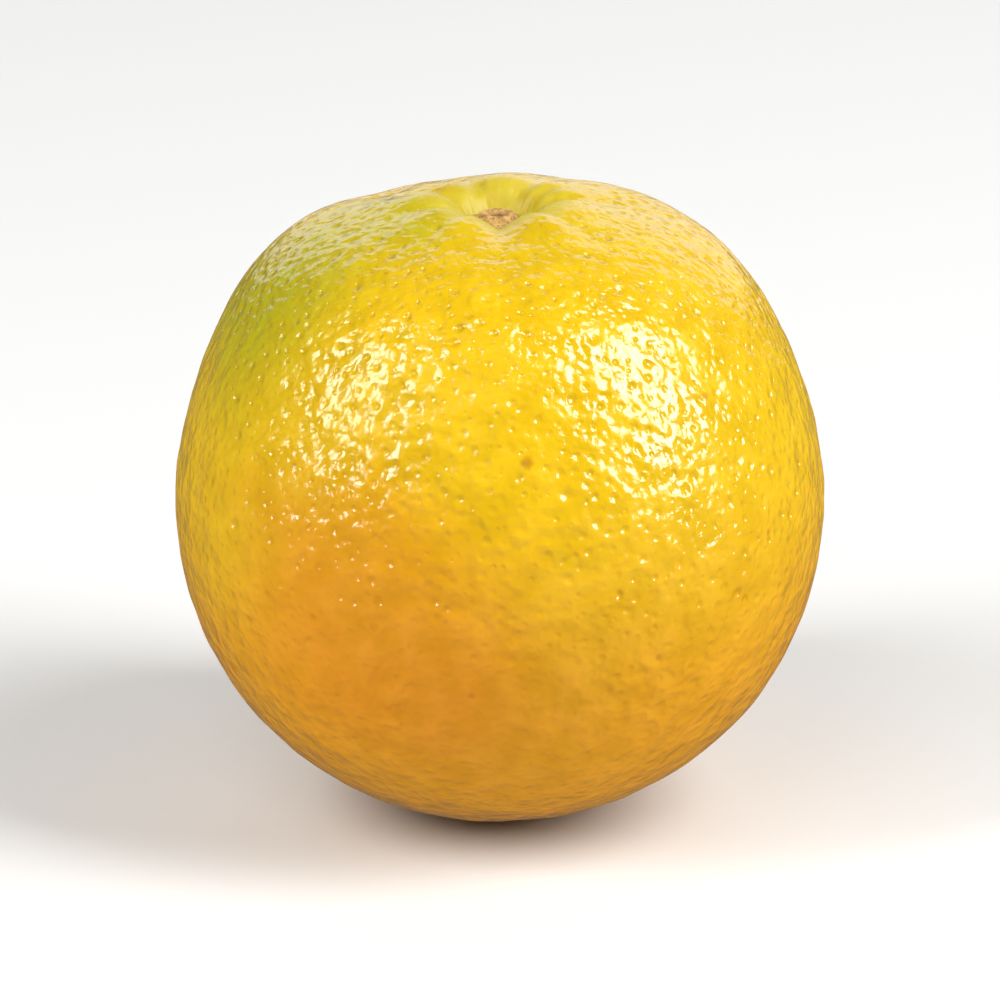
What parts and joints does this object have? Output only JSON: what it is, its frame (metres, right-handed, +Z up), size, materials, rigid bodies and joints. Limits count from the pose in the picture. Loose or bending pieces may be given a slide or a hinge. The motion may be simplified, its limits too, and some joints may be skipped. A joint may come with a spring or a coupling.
{
  "type": "orange",
  "caption": "Whole sweet orange with a pebbled yellow-orange peel, a creased hollow round the woody stem button and a small flat spot to rest on.",
  "frame": {"origin": "centre of the small flat spot that the fruit rests on", "axes": "+Z up along the fruit's axis towards the stem end, -Y towards the side seen in the picture, +X to its right"},
  "size_m": [0.0776, 0.0779, 0.0758],
  "materials": {
    "peel": "waxy, satin-gloss citrus peel, yellow with a green tinge near the stem and orange lower down",
    "stem_button": "dry, matt, tan-brown woody calyx with a darker broken stalk"
  },
  "bodies": {
    "root": {"orange": "peel", "stem_button": "stem_button"}
  },
  "joints": []
}
